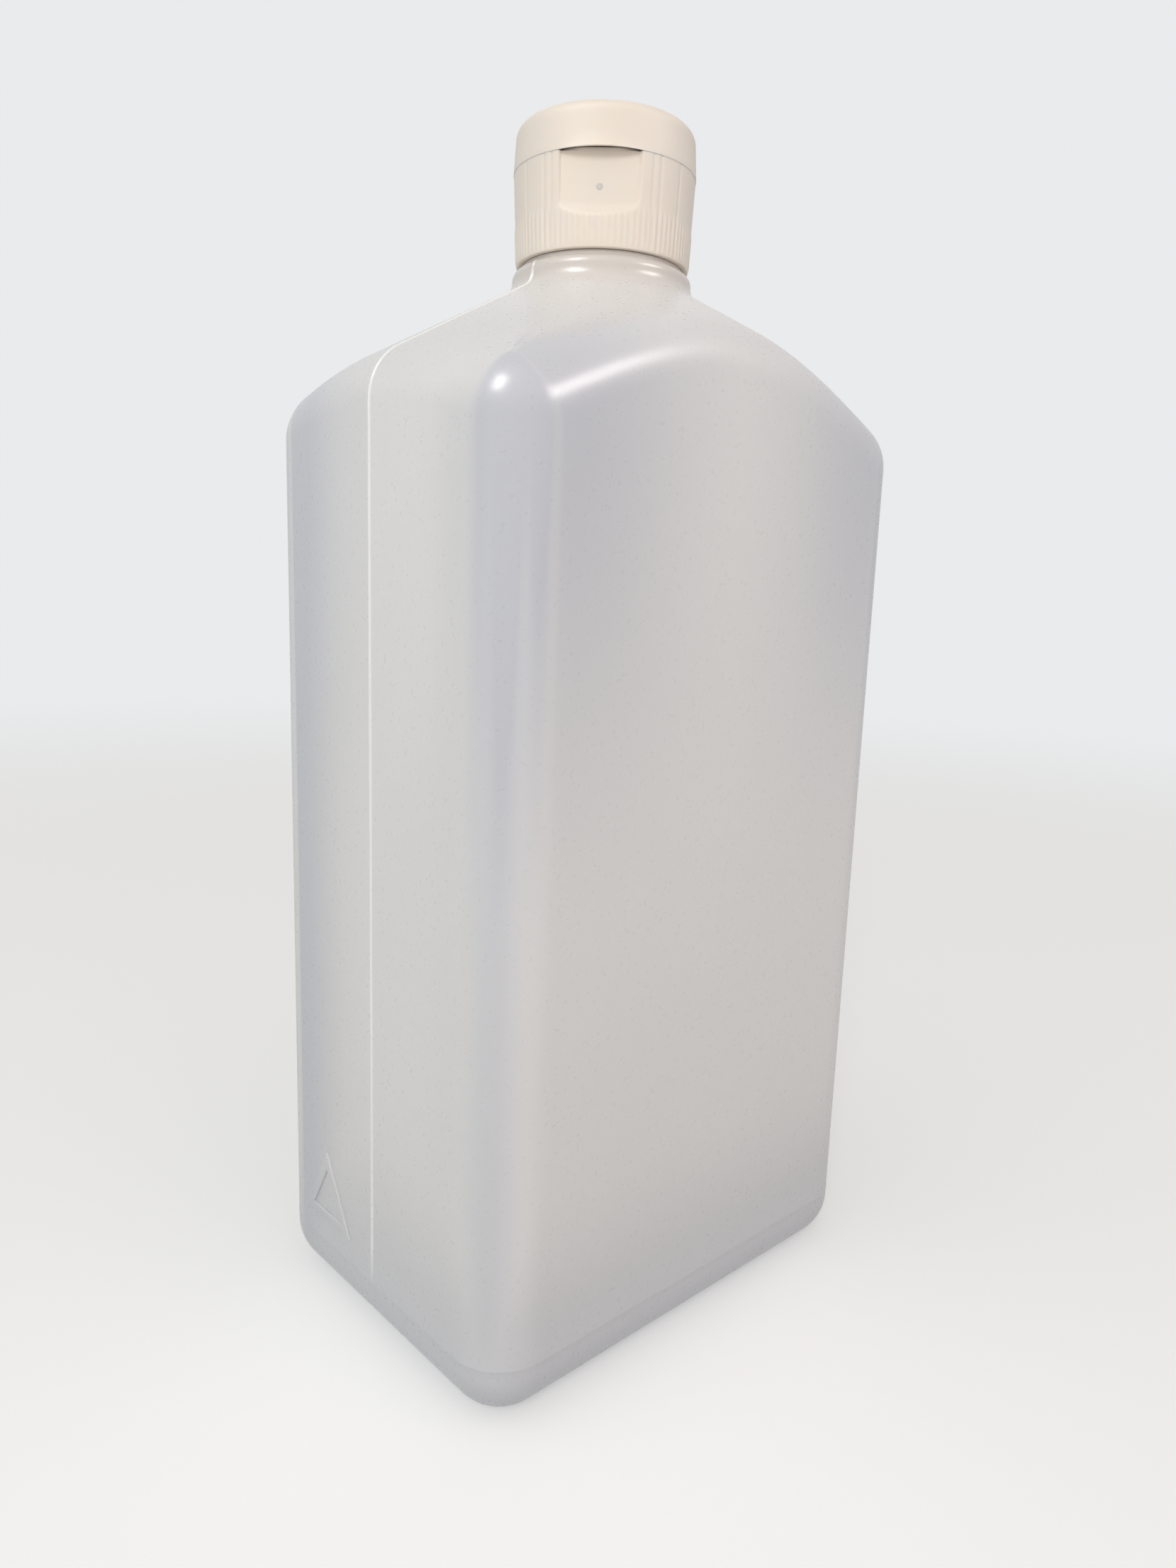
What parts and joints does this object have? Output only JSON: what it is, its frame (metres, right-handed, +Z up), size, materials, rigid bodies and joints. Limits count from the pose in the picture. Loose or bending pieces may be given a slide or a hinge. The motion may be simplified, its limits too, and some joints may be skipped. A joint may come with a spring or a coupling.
{
  "type": "square bottle",
  "caption": "Rectangular blow-moulded bottle with a cone-shaped shoulder, a screw neck and a screw cap whose hinged flip-top lid covers a pouring spout.",
  "frame": {"origin": "centre of the base, on the surface that the bottle stands on", "axes": "+Z up along the neck's axis; +X along the wide faces; +Y along the narrow faces. The raised triangle is low on the -X face, and the cap's thumb recess faces the corner between -X and -Y"},
  "size_m": [0.0956, 0.0694, 0.2126],
  "materials": {
    "bottle": "natural polyethylene, milky and slightly see-through, with a soft satin gloss",
    "cap": "warm white polypropylene, satin",
    "lid": "warm white polypropylene, satin"
  },
  "bodies": {
    "bottle": {"bottle": "bottle"},
    "cap_base": {"cap_base": "cap"},
    "lid": {"lid": "lid"}
  },
  "joints": [
    {"name": "cap_lift", "type": "slide", "parent": "bottle", "child": "cap_base", "axis": [0, 0, 1], "range_m": [0, 0.025]},
    {"name": "lid_flip", "type": "hinge", "parent": "cap_base", "child": "lid", "pos_m": [0.01051, 0.0107, 0.2043], "axis": [-0.7133, 0.7009, 0], "range_deg": [0, 150]}
  ]
}
